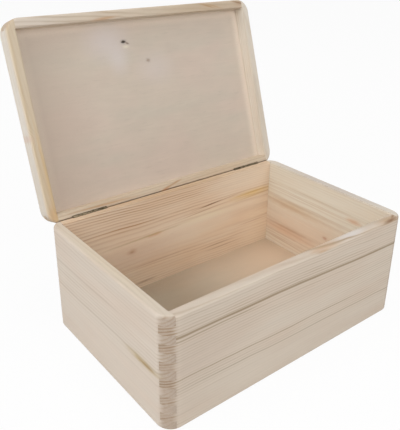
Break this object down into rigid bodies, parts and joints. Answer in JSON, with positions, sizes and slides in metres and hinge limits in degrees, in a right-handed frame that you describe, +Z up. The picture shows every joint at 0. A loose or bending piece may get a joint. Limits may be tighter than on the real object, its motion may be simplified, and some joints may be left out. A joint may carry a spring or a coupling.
{
  "type": "hinged keepsake box",
  "caption": "Low finger-jointed pine box with rounded corners, a sheet floor and a framed lid on butt hinges, shown open on its bevelled back edges.",
  "frame": {"origin": "middle of the box's underside, on the surface it stands on", "axes": "+Z up, +X along the length towards the right-hand wall, +Y towards the hinged back wall, so the front faces -Y"},
  "size_m": [0.3, 0.2738, 0.3003],
  "materials": {
    "wall_pine": "sanded, unfinished",
    "rail_pine": "sanded, unfinished",
    "panel_sheet": "sanded, unfinished",
    "hinge_steel": "dull plated",
    "pin_steel": "dull plated",
    "screw_steel": "dull plated"
  },
  "bodies": {
    "box": {"front_wall": "wall_pine", "back_wall": "wall_pine", "left_wall": "wall_pine", "right_wall": "wall_pine", "bottom_panel": "panel_sheet", "left_box_leaf": "hinge_steel", "left_pin": "pin_steel", "left_box_screws": "screw_steel", "right_box_leaf": "hinge_steel", "right_pin": "pin_steel", "right_box_screws": "screw_steel"},
    "lid": {"lid_front_rail": "rail_pine", "lid_back_rail": "rail_pine", "lid_left_rail": "rail_pine", "lid_right_rail": "rail_pine", "lid_panel": "panel_sheet", "left_lid_leaf": "hinge_steel", "left_lid_screws": "screw_steel", "right_lid_leaf": "hinge_steel", "right_lid_screws": "screw_steel"}
  },
  "joints": [
    {"name": "lid_hinge", "type": "hinge", "parent": "box", "child": "lid", "pos_m": [0, 0.097, 0.1131], "axis": [1, 0, 0], "range_deg": [0, 107.5]}
  ]
}
